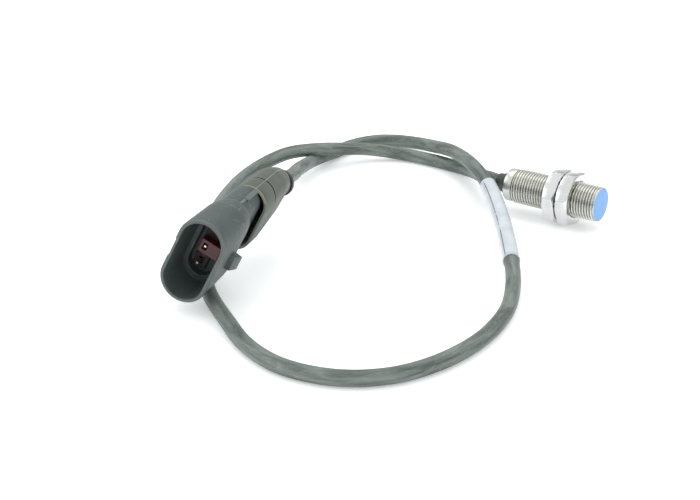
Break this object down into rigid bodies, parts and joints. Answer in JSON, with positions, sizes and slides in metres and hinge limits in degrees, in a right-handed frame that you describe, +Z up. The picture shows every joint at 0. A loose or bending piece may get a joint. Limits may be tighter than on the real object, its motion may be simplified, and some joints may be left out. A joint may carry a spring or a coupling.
{
  "type": "inductive proximity sensor",
  "caption": "Threaded inductive proximity sensor with two hexagon nuts, toothed washers, a looped cable and a sealed three-way connector.",
  "frame": {"origin": "on the surface the sensor lies on, under the middle of the sensor without its cable and plug", "axes": "+X out of the sensing face along the barrel, +Z up from the surface, +Y across the nuts' corners"},
  "size_m": [0.1354, 0.1786, 0.0318],
  "materials": {
    "barrel_metal": "satin nickel-plated brass, threaded",
    "face_plastic": "bright blue moulded plastic",
    "ferrite": "sintered ferrite",
    "bobbin_plastic": "natural moulded plastic",
    "copper_wire": "enamelled copper",
    "board": "glass-epoxy board",
    "chip_plastic": "moulded chips",
    "resin": "cast resin",
    "black_plastic": "black moulded plastic",
    "relief_rubber": "black soft plastic",
    "nut_metal": "bright nickel plate",
    "washer_metal": "nickel-plated spring steel",
    "core_brown": "wire insulation",
    "core_black": "wire insulation",
    "core_blue": "wire insulation",
    "cable_rubber": "grey matte jacket, scuffed",
    "label_vinyl": "white film label under a clear wrap",
    "connector_plastic": "dark grey glass-filled plastic, scuffed",
    "lock_plastic": "red moulded plastic",
    "terminal_metal": "tin-plated brass",
    "seal_rubber": "silicone rubber",
    "boot_plastic": "olive grey moulded plastic",
    "ring_rubber": "black rubber"
  },
  "bodies": {
    "sensor_body": {"barrel": "barrel_metal", "sensing_cap": "face_plastic", "ferrite_core": "ferrite", "coil_bobbin": "bobbin_plastic", "coil_winding": "copper_wire", "circuit_board": "board", "board_components": "chip_plastic", "potting_resin": "resin", "rear_plug": "black_plastic", "strain_relief": "relief_rubber", "sensor_wire_brown": "core_brown", "sensor_wire_black": "core_black", "sensor_wire_blue": "core_blue", "cable_jacket": "cable_rubber", "cable_label": "label_vinyl", "connector_shell": "connector_plastic", "terminal_1": "terminal_metal", "terminal_2": "terminal_metal", "terminal_3": "terminal_metal", "wire_seal_1": "seal_rubber", "wire_seal_2": "seal_rubber", "wire_seal_3": "seal_rubber", "plug_wire_brown": "core_brown", "plug_wire_black": "core_black", "plug_wire_blue": "core_blue"},
    "front_washer": {"front_washer": "washer_metal"},
    "front_nut": {"front_nut": "nut_metal"},
    "rear_washer": {"rear_washer": "washer_metal"},
    "rear_nut": {"rear_nut": "nut_metal"},
    "terminal_lock": {"terminal_lock": "lock_plastic"},
    "boot": {"boot": "boot_plastic", "boot_ring": "ring_rubber"}
  },
  "joints": [
    {"name": "front_washer_slide", "type": "slide", "parent": "sensor_body", "child": "front_washer", "axis": [1, 0, 0], "range_m": [0, 0.00705]},
    {"name": "front_nut_turn", "type": "hinge", "parent": "front_washer", "child": "front_nut", "pos_m": [0.00875, 0, 0.00922], "axis": [1, 0, 0], "range_deg": [0, 2520]},
    {"name": "rear_washer_slide", "type": "slide", "parent": "sensor_body", "child": "rear_washer", "axis": [1, 0, 0], "range_m": [-0.01205, 0]},
    {"name": "rear_nut_turn", "type": "hinge", "parent": "rear_washer", "child": "rear_nut", "pos_m": [0.00375, 0, 0.00922], "axis": [1, 0, 0], "range_deg": [-4320, 0]},
    {"name": "terminal_lock_slide", "type": "slide", "parent": "sensor_body", "child": "terminal_lock", "axis": [0.2588, -0.9659, 0], "range_m": [0, 0.0025]},
    {"name": "boot_slide", "type": "slide", "parent": "sensor_body", "child": "boot", "axis": [-0.2588, 0.9659, 0], "range_m": [0, 0.002]}
  ],
  "couplings": [
    {"joint": "front_washer_slide", "follows": "front_nut_turn", "m_per_rad": 0.00015915},
    {"joint": "rear_washer_slide", "follows": "rear_nut_turn", "m_per_rad": 0.00015915}
  ]
}
